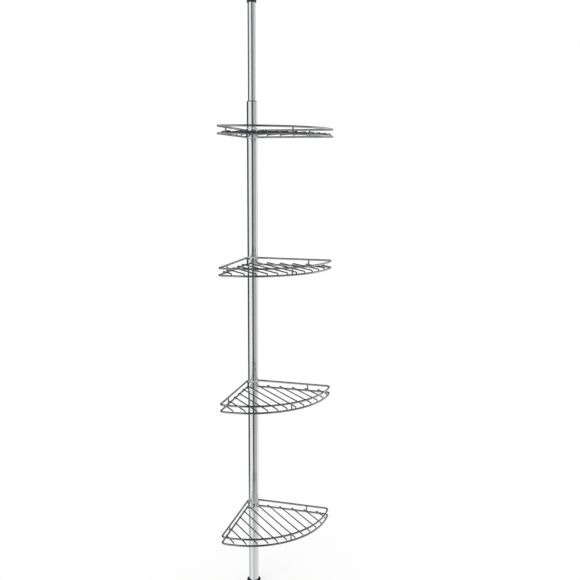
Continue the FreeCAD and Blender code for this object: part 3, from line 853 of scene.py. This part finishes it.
def floor_wire(number, side):
    """One floor wire, counted outward from the pole, on the right (1) or the left (-1)."""
    x = (number + 0.5) * SPACING
    front = -math.sqrt(FRONT_RADIUS ** 2 - x ** 2)
    back = LEG_OFFSET / DIAGONAL - x
    collar_reach = COLLAR_RADIUS - WELD_SINK
    corners = [(front, FLOOR_TIP), (front + FLOOR_RUN_IN, FLOOR_RISE)]
    if number == 0:
        corners.append((-math.sqrt(collar_reach ** 2 - x ** 2), FLOOR_RISE))
    else:
        corners += [(back - FLOOR_RUN_IN, FLOOR_RISE), (back, FLOOR_TIP)]
    path = soften([Vector((side * x, y, z)) for y, z in corners], FLOOR_BEND)
    vertices, faces = sweep(path, FLOOR_WIRE, WELD_END)
    if number == 0:
        end = path[-1].y
        for vertex in vertices:
            if vertex.y > end - WELD_END[-1][0] - ROUNDING:
                vertex.y += -math.sqrt(collar_reach ** 2 - vertex.x ** 2) - end
    return vertices, faces


floor_form = merge(floor_wire(i, side) for side in (1, -1) for i in range(WIRES_PER_SIDE))
floor_wire_mesh = make_mesh("floor_wires", floor_form)
for basket in BASKETS:
    place_on_basket(basket, "_floor_wires", "_welded", floor_wire_mesh)
print("floor wires have", len(floor_wire_mesh.vertices), "vertices")

# %% [markdown]
# ## Posts
#
# Three short posts hold the rail over the rim: one in front and one on each leg.
# An upright wire mirrors the bright screens all along its length and looks paler
# than a level one. The posts get painted shade, a darker copy of the wire's plating,
# so that they look as dark as the hoops they join.

# %% Posts
POST_LOW = RIM_WIRE - BUTT_SINK
POST_HIGH = RAIL_RISE - POST_LOW
leg_place = LEG_LENGTH - POST_SETBACK
side_post = outward * LEG_OFFSET + along * leg_place
POST_PLACES = [Vector((0, -FRONT_RADIUS, 0)), side_post, Vector((-side_post.x, side_post.y, 0))]

post_form = merge(
    sweep([p + Vector((0, 0, POST_LOW)), p + Vector((0, 0, POST_HIGH))], POST_WIRE, WELD_END, sides=18)
    for p in POST_PLACES
)
post_mesh = make_mesh("posts", post_form)
post_mesh.materials.append(post_painted_shade)
for basket in BASKETS:
    place_on_basket(basket, "_uprights", "_welded", post_mesh)
print("posts have", len(post_mesh.vertices), "vertices")

# %% [markdown]
# ## Collars
#
# The collar is a short steel ring, tapered inside, that wedges down over the two
# half clips. Its rims are softened, and four weld beads tie the hoops' legs to it:
# over the rim's legs and under the rail's. A bead is a short swept line whose
# radius swells in ripples, as a weld laid in small steps does.
# It is a short piece of tube, and it gets a plating as bright as the long tubes have.

# %% Collars
COLLAR_WALL = 0.7 * MM
COLLAR_TAPER = 0.4 * MM
COLLAR_EDGE = 0.22 * MM
BEAD_LENGTH = 9 * MM
BEAD_RADIUS = 0.95 * MM
BEAD_STAND = 0.4 * MM       # bead's middle outside the collar, so that it stays out of the bore
BEAD_STEPS = 24
BEAD_TIP = 0.25             # radius of a bead's ends, as a share of its full radius
BEAD_RIPPLE = 0.07
CREVICE = 1.9 * MM          # bead's middle from the wire's middle, up or down


def collar_ring():
    """The ring's section, softened and turned. Two corners come twice, so that all four are softened."""
    bore_low = COLLAR_RADIUS - COLLAR_WALL
    corners = [
        (bore_low, COLLAR_LOW), (COLLAR_RADIUS, COLLAR_LOW), (COLLAR_RADIUS, COLLAR_HIGH),
        (bore_low - COLLAR_TAPER, COLLAR_HIGH), (bore_low, COLLAR_LOW), (COLLAR_RADIUS, COLLAR_LOW),
    ]
    outline = soften([Vector((*corner, 0)) for corner in corners], COLLAR_EDGE, steps=4)[1:-1]
    return turn([(p.x, p.y) for p in outline], steps=72, closed=True)


def weld_bead(side, height):
    """A rippled bead in the crevice between a hoop's leg and the collar."""
    middle = outward * (COLLAR_RADIUS + BEAD_STAND) + Vector((0, 0, height))
    path = [middle + along * BEAD_LENGTH * (i / BEAD_STEPS - 0.5) for i in range(BEAD_STEPS + 1)]
    path = [Vector((side * p.x, p.y, p.z)) for p in path]
    swell = []
    for i in range(BEAD_STEPS // 2 + 1):
        share = i / (BEAD_STEPS / 2)
        ripple = 1 + BEAD_RIPPLE * math.cos(i * math.pi)
        plump = BEAD_TIP + (1 - BEAD_TIP) * math.sqrt(math.sin(share * math.pi / 2))
        swell.append((share * BEAD_LENGTH / 2, plump * ripple))
    return sweep(path, BEAD_RADIUS, swell, sides=12)


collar_form = merge([collar_ring()] + [
    weld_bead(side, height) for side in (1, -1) for height in (CREVICE, RAIL_RISE - CREVICE)
])
collar_mesh = make_mesh("collar", collar_form)
collar_mesh.materials.append(collar_plate)
for basket in BASKETS:
    place_on_basket(basket, "_collar", "_ring", collar_mesh)
print("collar mesh has", len(collar_mesh.vertices), "vertices")
